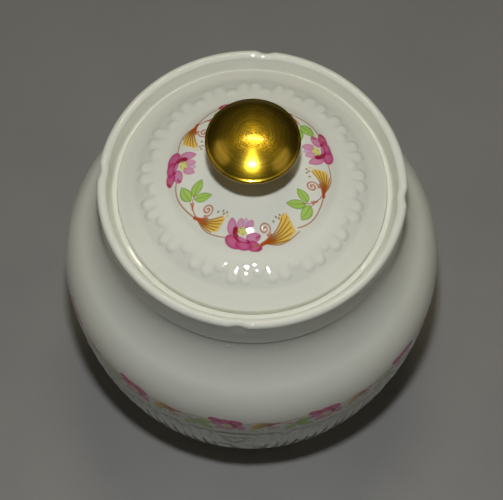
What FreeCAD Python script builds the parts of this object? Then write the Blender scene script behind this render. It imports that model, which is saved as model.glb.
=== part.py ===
import FreeCAD, Part
import math
import os

# Porcelain trinket box: a lidded pot whose lid is clamped to a turned brass knob.
# Millimetres.  The origin is the centre of the foot ring on the table, +Z is up.
# Outlines are drawn as (radius, height) points and turned about the Z axis.

# ---- driving dimensions -------------------------------------------------
POT_HEIGHT = 100.0            # table to the top of the rim
RIM_RADIUS = 43.0             # outer edge of the rim
BELLY_RADIUS = 55.8           # widest part of the pot
BELLY_DROP = 44.2             # rim top down to the widest part
SHOULDER_ROUND = 21.2         # radius of the round shoulder above the belly, seen from the side
NECK_CURVE = 23.8             # radius of the hollow between the shoulder and the collar
SHOULDER_FACING = 45.6        # degrees above level that the side faces where those two meet
SIDE_CURVE = 140.0            # radius of the nearly straight side below the belly
COLLAR_DEPTH = 12.9           # rim top down to the foot of the collar
WALL = 3.7                    # thickness of the fired wall
LID_RADIUS = 37.5
LID_CLEARANCE = 1.4           # loose seat all round the lid
DOME_CURVE = 70.0             # radius of the sphere that the lid's ribbed zone lies on
DOME_RISE = 8.3               # top of that sphere above the rim
KNOB_RADIUS = 12.65
KNOB_RIM_RISE = 23.8          # widest part of the knob above the rim
SCREW_RADIUS = 2.0            # M4

# ---- pot ------------------------------------------------------------------
BELLY_HEIGHT = POT_HEIGHT - BELLY_DROP
SIDE_AXIS = (BELLY_RADIUS - SIDE_CURVE, BELLY_HEIGHT)
SHOULDER_AXIS = (BELLY_RADIUS - SHOULDER_ROUND, BELLY_HEIGHT)
LIP = 2.8                     # thickness of the rounded rim
WAIST_RADIUS = RIM_RADIUS - 0.5
WAIST_HEIGHT = POT_HEIGHT - 6.5
COLLAR_STEP = 0.25            # the collar's foot stands this far proud of the neck
SEAT_DROP = 5.1               # rim top down to the ledge the lid stands on
SEAT_HEIGHT = POT_HEIGHT - SEAT_DROP
SEAT_WALL_RADIUS = LID_RADIUS + LID_CLEARANCE
MOUTH_RADIUS = 33.0
LEDGE_THICKNESS = 4.4
UNDER_LEDGE_HEIGHT = SEAT_HEIGHT - 7.9     # where the ledge's underside meets the wall
FLOOR_HEIGHT = 8.0
FLOOR_CORNER = 16.0           # radius between the floor and the wall inside
FOOT_RADIUS = 38.6
FOOT_WIDTH = 3.5
FOOT_RECESS = 3.4             # height of the base inside the foot ring
BASE_CROWN = 0.8              # how far the base rises towards the middle
FOOT_CURVE = 20.0             # radius where the side turns in to the foot
FOOT_CURVE_START = -14.5      # degrees, which way the side faces where that curve starts
FOOT_CURVE_END = -65.0        # degrees, which way it faces at the foot
SMALL_ROUND = 0.8
NOTCH_COUNT = 4
NOTCH_DEPTH = 0.8
NOTCH_HALF_WIDTH = 3.0
NOTCH_CHEEK_DEPTH = 0.28      # each side of a notch is an arc through this depth
NOTCH_CHEEK_PLACE = 0.4       # at this share of the half width
NOTCH_OVERLAP = 0.1           # the arcs end just outside the rim
NOTCH_REACH = 7.0             # how far a notch runs down the collar
NOTCH_LEAN = 12.0             # degrees, so that a notch fades out as it runs down

# ---- lid ------------------------------------------------------------------
# Going in from the edge, the top is a ribbed zone, a hollow, a shoulder and a crown.
# Slopes are degrees from level, and neighbouring arcs share the slope where they meet.
DOME_AXIS = (0, POT_HEIGHT + DOME_RISE - DOME_CURVE)
DOME_SLOPE = 20.5             # where the ribbed zone meets the hollow
HOLLOW_CURVE = 9.0
HOLLOW_SLOPE = 35.0           # where the hollow meets the shoulder
SHOULDER_CURVE = 18.75
CROWN_SLOPE = 10.0            # where the shoulder meets the crown
LID_THICKNESS = 3.2
LAND_RADIUS = 5.4             # flat ring that the knob's washer stands on
UNDER_LAND_RADIUS = 8.0
LID_HOLE_RADIUS = 2.6
FLANGE_RADIUS = MOUTH_RADIUS - 1.6
FLANGE_WIDTH = 2.6
FLANGE_DEPTH = 6.0
FLANGE_CORNER = 2.0
EDGE_ROUND = 0.8

# raised ribs round the dome: two long ones, then a short one
RIB_GROUPS = 18
RIB_RADIUS = 1.75
RIB_HEIGHT = 0.7
LONG_RIB_TIP = 31.7
SHORT_RIB_TIP = 29.7
RIB_ROOT = 24.4               # where a rib has sunk into the dome
RIB_ROOT_DEPTH = 0.15
PAIR_ANGLE = 3.35             # degrees from a pair's middle to each long rib
RIB_TURN = 3.0                # degrees, place of the first pair
RIB_CROWDING = 6.0            # degrees, the hand-laid ribs crowd towards one side
CROWDING_TURN = -16.0

# ---- knob and its fixings -------------------------------------------------
SOFT_WASHER = 0.8
STEEL_WASHER = 1.0
WASHER_BORE = SCREW_RADIUS + 0.15
KNOB_WASHER_RADIUS = 4.4
CUSHION_RADIUS = 6.8
STEEL_WASHER_RADIUS = 6.0
KNOB_FOOT_RADIUS = 4.7
KNOB_FOOT_HEIGHT = 1.6
KNOB_NECK_RADIUS = 3.7
KNOB_NECK_HEIGHT = 6.0
SKIRT_FLARE = 2.4             # the hollow under the cap passes this far outside the neck
SKIRT_RISE = 6.0              # at this height above the neck's end
KNOB_RIM_THICKNESS = 1.3
KNOB_CROWN = 4.3              # from the widest part up to the top
CROWN_CURVE = 25.0            # radius of the sphere that the middle of the crown lies on
CROWN_REACH = 8.0             # out to here; a tighter curve runs on to the rim
KNOB_BORE_RADIUS = SCREW_RADIUS + 0.02
SCREW_LENGTH = 16.0
BORE_SPARE = 1.4              # bore left over beyond the screw's tip
SCREW_HEAD_RADIUS = 4.0
SCREW_HEAD_HEIGHT = 2.6
SCREW_SLOT_WIDTH = 1.0
SCREW_SLOT_DEPTH = SCREW_HEAD_HEIGHT / 2
SCREW_POINT = 0.6             # chamfer at the tip

UP = FreeCAD.Vector(0, 0, 1)
ORIGIN = FreeCAD.Vector(0, 0, 0)


def point(position):
    """The 3-D point for a (radius, height) pair in the XZ plane."""
    return FreeCAD.Vector(position[0], 0, position[1])


def on_circle(centre, radius, degrees):
    angle = math.radians(degrees)
    return (centre[0] + radius * math.cos(angle), centre[1] + radius * math.sin(angle))


def height_on_circle(centre, radius, at_radius):
    """Height of the upper half of a circle at a given distance from the Z axis."""
    return centre[1] + math.sqrt(radius ** 2 - (at_radius - centre[0]) ** 2)


def radius_on_circle(centre, radius, at_height):
    """Distance from the Z axis of the outer half of a circle at a given height."""
    return centre[0] + math.sqrt(radius ** 2 - (at_height - centre[1]) ** 2)


def direction(centre, target):
    return math.degrees(math.atan2(target[1] - centre[1], target[0] - centre[0]))


def line(start, end):
    return Part.LineSegment(point(start), point(end)).toShape()


def arc(start, middle, end):
    return Part.Arc(point(start), point(middle), point(end)).toShape()


def arc_about(centre, radius, from_degrees, to_degrees):
    """Edge, first point and last point of an arc given by its centre and its directions."""
    start = on_circle(centre, radius, from_degrees)
    middle = on_circle(centre, radius, (from_degrees + to_degrees) / 2)
    end = on_circle(centre, radius, to_degrees)
    return arc(start, middle, end), start, end


def rounded_run(points):
    """Straight edges through (radius, height, corner radius) points, with rounded corners."""
    edges = []
    here = points[0][:2]
    for before, corner, after in zip(points, points[1:], points[2:]):
        centre = FreeCAD.Vector(corner[0], corner[1], 0)
        back = (FreeCAD.Vector(before[0], before[1], 0) - centre).normalize()
        ahead = (FreeCAD.Vector(after[0], after[1], 0) - centre).normalize()
        half_angle = back.getAngle(ahead) / 2
        if corner[2] == 0:
            edges.append(line(here, corner[:2]))
            here = corner[:2]
            continue
        trim = corner[2] / math.tan(half_angle)
        reach = corner[2] / math.sin(half_angle) - corner[2]
        start = centre + back * trim
        end = centre + ahead * trim
        middle = centre + (back + ahead).normalize() * reach
        edges.append(line(here, start[:2]))
        edges.append(arc(start[:2], middle[:2], end[:2]))
        here = end[:2]
    edges.append(line(here, points[-1][:2]))
    return edges


def turned(edges):
    """Solid of revolution of a closed outline."""
    outline = Part.Wire(Part.__sortEdges__(edges))
    return Part.Face(outline).revolve(ORIGIN, UP, 360)


def ring(bore, radius, bottom, thickness):
    """A flat washer."""
    disc = Part.makeCylinder(radius, thickness, FreeCAD.Vector(0, 0, bottom))
    hole = Part.makeCylinder(bore, thickness, FreeCAD.Vector(0, 0, bottom))
    return disc.cut(hole)


def body_side(depth, low_direction, neck_height):
    """Edges up the side, a given depth inside its outer face, and the point where they end."""
    neck_axis = on_circle(SHOULDER_AXIS, SHOULDER_ROUND + NECK_CURVE, SHOULDER_FACING)
    hollow = NECK_CURVE + depth
    neck_radius = neck_axis[0] - math.sqrt(hollow ** 2 - (neck_height - neck_axis[1]) ** 2)
    neck = (neck_radius, neck_height)
    runs = [
        (SIDE_AXIS, SIDE_CURVE - depth, low_direction, 0),
        (SHOULDER_AXIS, SHOULDER_ROUND - depth, 0, SHOULDER_FACING),
        (neck_axis, hollow, SHOULDER_FACING - 180, direction(neck_axis, neck)),
    ]
    return [arc_about(*run)[0] for run in runs], neck


def pot_inside():
    """Edges from the middle of the floor up the inner wall to under the ledge."""
    corner_height = FLOOR_HEIGHT + FLOOR_CORNER
    corner_curve = SIDE_CURVE - WALL - FLOOR_CORNER
    corner = (radius_on_circle(SIDE_AXIS, corner_curve, corner_height), corner_height)
    wall_direction = direction(SIDE_AXIS, corner)
    floor_corner, floor_end = arc_about(corner, FLOOR_CORNER, -90, wall_direction)[:2]
    wall, wall_end = body_side(WALL, wall_direction, UNDER_LEDGE_HEIGHT)
    return [line((0, FLOOR_HEIGHT), floor_end), floor_corner] + wall, wall_end


def pot_mouth(wall_end, neck):
    """Edges from under the ledge, over the lid's seat and the lip, down the collar to the neck."""
    lip_centre = (RIM_RADIUS - LIP / 2, POT_HEIGHT - LIP / 2)
    lip, lip_inside, lip_outside = arc_about(lip_centre, LIP / 2, 180, 0)
    seat = rounded_run([
        wall_end + (0,),
        (MOUTH_RADIUS, SEAT_HEIGHT - LEDGE_THICKNESS, SMALL_ROUND),
        (MOUTH_RADIUS, SEAT_HEIGHT, SMALL_ROUND),
        (SEAT_WALL_RADIUS, SEAT_HEIGHT, SMALL_ROUND),
        lip_inside + (0,),
    ])
    step, collar_foot, _ = arc_about((neck[0], neck[1] + COLLAR_STEP), COLLAR_STEP, 0, -90)
    collar = arc(lip_outside, (WAIST_RADIUS, WAIST_HEIGHT), collar_foot)
    return seat + [lip, collar, step]


def pot_outside():
    """Edges from the neck down the side and round the foot ring to the middle of the base."""
    side, neck = body_side(0, FOOT_CURVE_START, POT_HEIGHT - COLLAR_DEPTH)
    curve_centre = on_circle(SIDE_AXIS, SIDE_CURVE - FOOT_CURVE, FOOT_CURVE_START)
    foot_curve, _, foot_start = arc_about(
        curve_centre, FOOT_CURVE, FOOT_CURVE_START, FOOT_CURVE_END)
    foot = rounded_run([
        foot_start + (0,),
        (FOOT_RADIUS, 0, SMALL_ROUND),
        (FOOT_RADIUS - FOOT_WIDTH, 0, SMALL_ROUND),
        (FOOT_RADIUS - FOOT_WIDTH - SMALL_ROUND, FOOT_RECESS, SMALL_ROUND),
        (0, FOOT_RECESS + BASE_CROWN, 0),
    ])
    return side + [foot_curve] + foot, neck


def rim_notch():
    """Cutter for one pinch in the rim, on the +X side: two rolled lobes meet in a crease."""
    crease = FreeCAD.Vector(RIM_RADIUS - NOTCH_DEPTH, 0, 0)
    cheek_radius = RIM_RADIUS - NOTCH_CHEEK_DEPTH
    cheek_offset = NOTCH_HALF_WIDTH * NOTCH_CHEEK_PLACE
    lobe_end = RIM_RADIUS + NOTCH_OVERLAP
    outer = RIM_RADIUS + SMALL_ROUND
    edges = []
    for side in (-1, 1):
        cheek = FreeCAD.Vector(cheek_radius, side * cheek_offset, 0)
        lobe = FreeCAD.Vector(lobe_end, side * NOTCH_HALF_WIDTH, 0)
        corner = FreeCAD.Vector(outer, side * NOTCH_HALF_WIDTH, 0)
        edges.append(Part.Arc(crease, cheek, lobe).toShape())
        edges.append(Part.LineSegment(lobe, corner).toShape())
    edges.append(Part.LineSegment(FreeCAD.Vector(outer, -NOTCH_HALF_WIDTH, 0),
                                  FreeCAD.Vector(outer, NOTCH_HALF_WIDTH, 0)).toShape())
    face = Part.Face(Part.Wire(Part.__sortEdges__(edges)))
    cutter = face.extrude(UP * (NOTCH_REACH + SMALL_ROUND))
    cutter.translate(UP * (POT_HEIGHT - NOTCH_REACH))
    hinge_line = crease + UP * POT_HEIGHT
    cutter.rotate(hinge_line, FreeCAD.Vector(0, 1, 0), -NOTCH_LEAN)
    return cutter


def pot():
    inside, wall_end = pot_inside()
    outside, neck = pot_outside()
    axis = line((0, FOOT_RECESS + BASE_CROWN), (0, FLOOR_HEIGHT))
    body = turned(inside + pot_mouth(wall_end, neck) + outside + [axis])
    for index in range(NOTCH_COUNT):
        notch = rim_notch()
        notch.rotate(ORIGIN, UP, index * 360 / NOTCH_COUNT)
        body = body.cut(notch)
    return body


def down_slope(centre, radius, slope):
    """Point of a circle where its upper side falls away from the axis at a given slope."""
    return on_circle(centre, radius, 90 - slope)


def lid_arcs():
    """Centre and radius of the four arcs of the lid's top, and the radius where each starts."""
    hollow = down_slope(DOME_AXIS, DOME_CURVE + HOLLOW_CURVE, DOME_SLOPE)
    hollow_end = down_slope(hollow, -HOLLOW_CURVE, HOLLOW_SLOPE)
    shoulder = down_slope(hollow_end, -SHOULDER_CURVE, HOLLOW_SLOPE)
    shoulder_end = down_slope(shoulder, SHOULDER_CURVE, CROWN_SLOPE)
    crown_curve = shoulder_end[0] / math.sin(math.radians(CROWN_SLOPE))
    crown = (0, shoulder_end[1] - crown_curve * math.cos(math.radians(CROWN_SLOPE)))
    return crown, crown_curve, shoulder, hollow


def lid_surface(depth, start_radius, end_slope):
    """Edges from near the middle out to the ribbed zone, a given depth below the lid's top."""
    crown, crown_curve, shoulder, hollow = lid_arcs()
    crown_curve -= depth
    start_slope = math.degrees(math.asin(start_radius / crown_curve))
    runs = [
        (crown, crown_curve, start_slope, CROWN_SLOPE),
        (shoulder, SHOULDER_CURVE - depth, CROWN_SLOPE, HOLLOW_SLOPE),
        (hollow, -HOLLOW_CURVE - depth, HOLLOW_SLOPE, DOME_SLOPE),
        (DOME_AXIS, DOME_CURVE - depth, DOME_SLOPE, end_slope),
    ]
    edges = [arc_about(centre, radius, 90 - first, 90 - last)[0]
             for centre, radius, first, last in runs]
    return edges, down_slope(crown, crown_curve, start_slope)


def rounding_under_dome(depth, fillet, fillet_radius):
    """A fillet between a vertical wall and the ribbed zone: arc, wall point, slope at the dome."""
    centre = (fillet_radius, height_on_circle(DOME_AXIS, DOME_CURVE - depth - fillet, fillet_radius))
    towards = direction(DOME_AXIS, centre)
    edge, wall_point, dome_point = arc_about(centre, fillet, 0, towards)
    return edge, wall_point, 90 - towards


def lid_shell():
    """The lid without its ribs: top, edge, locating flange and the hole for the screw."""
    edge, rim_top, edge_slope = rounding_under_dome(0, EDGE_ROUND, LID_RADIUS - EDGE_ROUND)
    top, land = lid_surface(0, LAND_RADIUS, edge_slope)

    flange_inside = FLANGE_RADIUS - FLANGE_WIDTH
    corner, flange_top, under_slope = rounding_under_dome(
        LID_THICKNESS, FLANGE_CORNER, flange_inside - FLANGE_CORNER)
    underside, under_land = lid_surface(LID_THICKNESS, UNDER_LAND_RADIUS, under_slope)

    seat_and_flange = rounded_run([
        rim_top + (0,),
        (LID_RADIUS, SEAT_HEIGHT, EDGE_ROUND),
        (FLANGE_RADIUS, SEAT_HEIGHT, EDGE_ROUND),
        (FLANGE_RADIUS, SEAT_HEIGHT - FLANGE_DEPTH, EDGE_ROUND),
        (flange_inside, SEAT_HEIGHT - FLANGE_DEPTH, EDGE_ROUND),
        flange_top + (0,),
    ])
    hole = rounded_run([
        under_land + (0,),
        (LID_HOLE_RADIUS, under_land[1], 0),
        (LID_HOLE_RADIUS, land[1], 0),
        land + (0,),
    ])
    return turned(top + [edge] + seat_and_flange + [corner] + underside + hole)


def rib(tip):
    """One rib on the +X side: a round bar that rises out of the dome and ends in a round tip."""
    outer_slope = math.degrees(math.asin((tip - RIB_RADIUS) / DOME_CURVE))
    root_slope = math.degrees(math.asin(RIB_ROOT / DOME_CURVE))
    outer = point(down_slope(DOME_AXIS, DOME_CURVE + RIB_HEIGHT - RIB_RADIUS, outer_slope))
    root = point(down_slope(DOME_AXIS, DOME_CURVE - RIB_ROOT_DEPTH - RIB_RADIUS, root_slope))
    run = outer - root
    bar = Part.makeCylinder(RIB_RADIUS, run.Length, root, run)
    return bar.fuse(Part.makeSphere(RIB_RADIUS, outer))


def rib_ring():
    ribs = []
    for group in range(RIB_GROUPS):
        even = group * 360 / RIB_GROUPS
        uneven = RIB_CROWDING * math.sin(math.radians(even + CROWDING_TURN))
        middle = even + RIB_TURN - uneven
        half_group = 180 / RIB_GROUPS
        places = ((-PAIR_ANGLE, LONG_RIB_TIP), (PAIR_ANGLE, LONG_RIB_TIP), (half_group, SHORT_RIB_TIP))
        for offset, tip in places:
            piece = rib(tip)
            piece.rotate(ORIGIN, UP, middle + offset)
            ribs.append(piece)
    return ribs


def lid():
    return lid_shell().fuse(rib_ring())


def clamp_heights():
    """Heights of the faces that the knob's screw squeezes together, from the top down."""
    crown, crown_curve = lid_arcs()[:2]
    land = height_on_circle(crown, crown_curve, LAND_RADIUS)
    under_land = height_on_circle(crown, crown_curve - LID_THICKNESS, UNDER_LAND_RADIUS)
    return {
        "knob_foot": land + SOFT_WASHER,
        "land": land,
        "under_land": under_land,
        "steel_top": under_land - SOFT_WASHER,
        "screw_seat": under_land - SOFT_WASHER - STEEL_WASHER,
    }


def knob_crown(rim_over, top):
    """Edges over the top of the knob: a sphere, then a tighter curve that blends into it."""
    centre = (0, top - CROWN_CURVE)
    towards = direction(centre, (CROWN_REACH, height_on_circle(centre, CROWN_CURVE, CROWN_REACH)))
    middle, _, bend = arc_about(centre, CROWN_CURVE, 90, towards)
    span = (bend[0] - rim_over[0], bend[1] - rim_over[1])
    facing = on_circle((0, 0), 1, towards)
    edge_curve = (span[0] ** 2 + span[1] ** 2) / (2 * (span[0] * facing[0] + span[1] * facing[1]))
    edge_centre = on_circle(bend, -edge_curve, towards)
    edge = arc_about(edge_centre, edge_curve, towards, direction(edge_centre, rim_over))[0]
    return [middle, edge]


def knob():
    foot = clamp_heights()["knob_foot"]
    rim = POT_HEIGHT + KNOB_RIM_RISE
    top = rim + KNOB_CROWN
    bore_top = clamp_heights()["screw_seat"] + SCREW_LENGTH + BORE_SPARE
    rim_round = KNOB_RIM_THICKNESS / 2
    neck = foot + KNOB_NECK_HEIGHT
    rim_edge, rim_under, rim_over = arc_about((KNOB_RADIUS - rim_round, rim), rim_round, -90, 90)
    skirt_middle = (KNOB_NECK_RADIUS + SKIRT_FLARE, neck + SKIRT_RISE)
    skirt = arc((KNOB_NECK_RADIUS, neck), skirt_middle, rim_under)
    base = rounded_run([
        (0, bore_top, 0),
        (KNOB_BORE_RADIUS, bore_top, 0),
        (KNOB_BORE_RADIUS, foot, 0),
        (KNOB_FOOT_RADIUS, foot, SMALL_ROUND / 4),
        (KNOB_FOOT_RADIUS, foot + KNOB_FOOT_HEIGHT, SMALL_ROUND / 2),
        (KNOB_NECK_RADIUS, foot + KNOB_FOOT_HEIGHT + SMALL_ROUND, SMALL_ROUND),
        (KNOB_NECK_RADIUS, neck, 0),
    ])
    axis = line((0, top), (0, bore_top))
    return turned(base + [skirt, rim_edge, axis] + knob_crown(rim_over, top))


def knob_screw():
    seat = clamp_heights()["screw_seat"]
    tip = seat + SCREW_LENGTH
    body = turned(rounded_run([
        (0, seat - SCREW_HEAD_HEIGHT, 0),
        (SCREW_HEAD_RADIUS, seat - SCREW_HEAD_HEIGHT, SCREW_HEAD_HEIGHT / 2),
        (SCREW_HEAD_RADIUS, seat, 0),
        (SCREW_RADIUS, seat, 0),
        (SCREW_RADIUS, tip - SCREW_POINT, 0),
        (SCREW_RADIUS - SCREW_POINT, tip, 0),
        (0, tip, 0),
        (0, seat - SCREW_HEAD_HEIGHT, 0),
    ]))
    length = 3 * SCREW_HEAD_RADIUS
    corner = FreeCAD.Vector(-length / 2, -SCREW_SLOT_WIDTH / 2, seat - SCREW_HEAD_HEIGHT)
    return body.cut(Part.makeBox(length, SCREW_SLOT_WIDTH, SCREW_SLOT_DEPTH, corner))


def knob_washer():
    return ring(WASHER_BORE, KNOB_WASHER_RADIUS, clamp_heights()["land"], SOFT_WASHER)


def cushion_washer():
    return ring(WASHER_BORE, CUSHION_RADIUS, clamp_heights()["steel_top"], SOFT_WASHER)


def steel_washer():
    return ring(WASHER_BORE, STEEL_WASHER_RADIUS, clamp_heights()["screw_seat"], STEEL_WASHER)


PIECES = {
    "pot": pot,
    "lid": lid,
    "knob": knob,
    "knob_washer": knob_washer,
    "cushion_washer": cushion_washer,
    "steel_washer": steel_washer,
    "knob_screw": knob_screw,
}

os.makedirs("parts", exist_ok=True)
for node, build in PIECES.items():
    shape = build()
    shape.exportStep(os.path.join("parts", node + ".step"))
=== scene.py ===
import math

import bpy
import numpy as np
from mathutils import Matrix, Vector


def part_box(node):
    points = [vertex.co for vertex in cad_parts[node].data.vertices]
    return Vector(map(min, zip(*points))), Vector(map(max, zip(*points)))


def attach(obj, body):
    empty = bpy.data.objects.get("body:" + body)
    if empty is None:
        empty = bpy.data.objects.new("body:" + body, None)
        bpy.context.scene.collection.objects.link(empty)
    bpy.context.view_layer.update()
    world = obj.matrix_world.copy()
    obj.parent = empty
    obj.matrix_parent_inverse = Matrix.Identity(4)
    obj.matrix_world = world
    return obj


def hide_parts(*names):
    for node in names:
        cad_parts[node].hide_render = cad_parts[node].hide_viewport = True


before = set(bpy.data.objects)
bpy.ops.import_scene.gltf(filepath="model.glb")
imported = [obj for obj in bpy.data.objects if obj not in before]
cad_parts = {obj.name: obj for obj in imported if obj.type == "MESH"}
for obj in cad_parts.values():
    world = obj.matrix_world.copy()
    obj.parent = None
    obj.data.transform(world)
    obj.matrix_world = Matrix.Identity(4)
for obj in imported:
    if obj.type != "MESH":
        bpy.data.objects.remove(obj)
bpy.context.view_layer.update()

# Looks of the porcelain trinket box: turned porcelain with moulded relief and printed flower
# sprays, a brushed gilt knob and its fixings.  Outlines are (radius, height) in millimetres and
# become metres when a mesh is made.  Angles are degrees from +X unless a name says otherwise.

MM = 0.001

# ---- sizes taken from the frame ----


def box_mm(node):
    low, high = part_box(node)
    return low / MM, high / MM


POT_HIGH = box_mm("pot")[1]
LID_LOW, LID_HIGH = box_mm("lid")
KNOB_LOW, KNOB_HIGH = box_mm("knob")

RIM_TOP = POT_HIGH.z
BELLY_RADIUS = POT_HIGH.x
LID_RADIUS = LID_HIGH.x
KNOB_RADIUS = KNOB_HIGH.x
KNOB_FOOT = KNOB_LOW.z
KNOB_TOP = KNOB_HIGH.z

# ---- pot outline ----

# A fade is a pair of heights or radii: nothing at its first value, all at its second.

RIM_RADIUS = 43.0
BELLY_HEIGHT = RIM_TOP - 44.2
SHOULDER_ROUND = 21.2  # radius of the round shoulder above the belly, seen from the side
NECK_CURVE = 23.8  # radius of the hollow between the shoulder and the collar
SHOULDER_FACING = 45.6  # degrees above level that the side faces where those two meet
SIDE_CURVE = 140.0  # radius of the nearly straight side below the belly
SIDE_AXIS = (BELLY_RADIUS - SIDE_CURVE, BELLY_HEIGHT)
SHOULDER_AXIS = (BELLY_RADIUS - SHOULDER_ROUND, BELLY_HEIGHT)
NECK_HEIGHT = RIM_TOP - 12.9
WALL = 3.7
LIP = 2.8  # thickness of the rim
WAIST_RADIUS = RIM_RADIUS - 0.5
WAIST_HEIGHT = RIM_TOP - 6.5
COLLAR_STEP = 0.25  # radius of the small step where the collar meets the neck
SEAT_HEIGHT = RIM_TOP - 5.1  # the ledge that the lid rests on
SEAT_WALL_RADIUS = LID_RADIUS + 1.4
MOUTH_RADIUS = 33.0
LEDGE_THICKNESS = 4.4
UNDER_LEDGE_HEIGHT = SEAT_HEIGHT - 7.9
FLOOR_HEIGHT = 8.0
FLOOR_CORNER = 16.0
FOOT_RADIUS = 38.6
FOOT_WIDTH = 3.5
FOOT_RECESS = 3.4
BASE_CROWN = 0.8  # rise of the underside towards its middle
FOOT_CURVE = 20.0  # radius of the curve from the side in to the foot
FOOT_CURVE_START = -14.5  # degrees, the way the side faces where it starts and ends
FOOT_CURVE_END = -65.0
SMALL_ROUND = 0.8

# soft notches in the rim, and turning lines on the collar
NOTCH_COUNT = 4
NOTCH_DEPTH = 0.7
NOTCH_HALF_WIDTH = 3.2
NOTCH_FADE = (RIM_TOP - 7.0, RIM_TOP - 1.0)
NOTCH_INNER_SHARE = 0.3  # how much of the depth the inner face of the lip has
NOTCH_SINK_SHARE = 0.4  # how much of the depth the top of the lip sinks
LIP_TOP_FADE = (RIM_TOP - 1.2, RIM_TOP)
LINE_DEPTH = 0.03
LINE_PITCH = 1.3
LINE_LOW_FADE = (NECK_HEIGHT, NECK_HEIGHT + 1.0)
LINE_HIGH_FADE = (RIM_TOP - 3.0, RIM_TOP - 5.0)
COLLAR_FACE_FADE = (RIM_RADIUS - 2.0, RIM_RADIUS - 1.0)

# beads of glaze beside the front notch: azimuth, height and radius
PIMPLES = ((-93.6, NECK_HEIGHT - 3.2, 0.75), (-89.7, NECK_HEIGHT - 0.6, 0.5))
PIMPLE_RISE = 0.35  # a bead stands out by this share of its radius
PIMPLE_SQUASH = 0.9

# painted shade in the hollow neck: the glaze there is darkened as if shaded
NECK_SHADE_HEIGHT = 2.0  # of its middle, above the foot of the collar
NECK_SHADE_REACH = 8.5
NECK_SHADE_SHARE = 1.2  # strength of the painted neck shade, compared with the pooled glaze and shade between the flutes

# ---- lid outline ----

# Going in from the edge, the top is a ribbed dome, a hollow, a shoulder and a crown.  A slope is
# in degrees down from level.

DOME_CURVE = 70.0
DOME_AXIS = (0, RIM_TOP + 8.3 - DOME_CURVE)
DOME_SLOPE = 20.5  # where the dome meets the hollow
HOLLOW_CURVE = 9.0
HOLLOW_SLOPE = 35.0  # where the hollow meets the shoulder
SHOULDER_CURVE = 18.75
CROWN_SLOPE = 10.0  # where the shoulder meets the crown
PRINT_START_RADIUS = 12.0  # the mesh is fine from here out, for the printed sprays
RIBS_END_RADIUS = 33.2
LID_THICKNESS = 3.2
LAND_RADIUS = 5.4  # the flat that the knob stands on
UNDER_LAND_RADIUS = 8.0  # the flat for the washers below
LID_HOLE_RADIUS = 2.6
FLANGE_RADIUS = MOUTH_RADIUS - 1.6
FLANGE_WIDTH = 2.6
FLANGE_CORNER = 2.0
EDGE_ROUND = 0.8

# raised ribs round the dome: two long ones, then a short one
RIB_GROUPS = 18
RIB_HALF_WIDTH = 2.0
RIB_HEIGHT = 0.38
SHORT_RIB_SHARE = 0.72  # height of a short rib compared with a long one
RIB_ROOT = 26.0  # radius at which a rib has sunk into the dome
RIB_GROWN = 0.5  # a rib is at its full height this far beyond its tip's centre
LONG_RIB_TIP = 31.7
SHORT_RIB_TIP = 29.7
PAIR_ANGLE = 3.35  # degrees from a pair's middle to each long rib
RIB_TURN = 3.0  # degrees, place of the first pair
RIB_CROWDING = 6.0  # degrees, the hand-laid ribs crowd towards one side
CROWDING_TURN = -16.0
RIB_SLIP = 0.35  # degrees
TIP_SLIP = 0.12
RIB_SEED = 7
RIB_WINDOW = 0.12  # radians to each side of a rib that its shape can reach
# glaze pooled between the ribs, with painted shade: these valleys are darkened
VALLEY_ROOT_FADE = (RIB_ROOT, RIB_ROOT + 3.0)
VALLEY_TIP_FADE = (LONG_RIB_TIP + 1.6, LONG_RIB_TIP)

# ---- relief on the lower half of the pot ----

FLUTE_TIP = RIM_TOP - 52.7
FLUTE_DEPTH = 0.42
FLUTE_HALF_WIDTH = 1.9
FLUTE_OFFSET = 1.9  # degrees from a pair's middle to each flute
FLUTE_GROUPS = 8  # pairs between two shells
SHORT_FLUTE_DROP = 3.6
SHORT_FLUTE_SHARE = 0.8  # height of a short flute compared with a long one
SHELL_COUNT = 4
SHELL_HALF_ANGLE = 6.0
SHELL_EDGE = 0.6  # degrees over which the flutes give way to a shell
SHELL_APEX = RIM_TOP - 67.4
SHELL_TOP = RIM_TOP - 55.8
ARM_HALF_WIDTH = 1.1
STEM_HALF_WIDTH = 2.4
STEM_FADE = (SHELL_APEX + 2.0, SHELL_APEX - 1.0)
SHELL_BEADS = 5
BEAD_RADIUS = 0.95
BEAD_SPACING = 0.36  # share of the shell's half width
BEAD_DROP = 2.7  # from the shell's top to its outermost beads
BEAD_SAG = 0.25  # the row of beads hangs lower towards its middle
SCALLOP_RADIUS = 1.15
SCALLOP_HALF_WIDTH = 0.6
SCALLOP_FADE = (SHELL_TOP - 0.4, SHELL_TOP + 0.2)
RELIEF_HIGH_FADE = (FLUTE_TIP + 2.2, FLUTE_TIP - 0.8)
RELIEF_LOW_FADE = (20.0, 27.0)
# where the pooled glaze and painted shade between the flutes fades in
FLUTE_POOL_SHADE_FADE = (FLUTE_TIP + 1.0, FLUTE_TIP - 2.0)

# ---- flower sprays ----

LID_LINE_RADIUS = 21.4  # the thin line of a spray runs along this circle
LID_SPRAYS = (  # where each flower sits, and how far its spray slipped outwards
    (-94.5, 0.0),
    (22.5, -0.2),
    (103.5, 0.1),
    (179.5, 0.4),
)
CUT_SPRAY = (-39.5, 0.8)  # a snipped piece of the printed strip fills the gap in the ring
BELLY_LINE = RIM_TOP - 42.2
BELLY_SPRAYS = 12
BELLY_TURN = -91.5

# ---- camera and light ----

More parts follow.
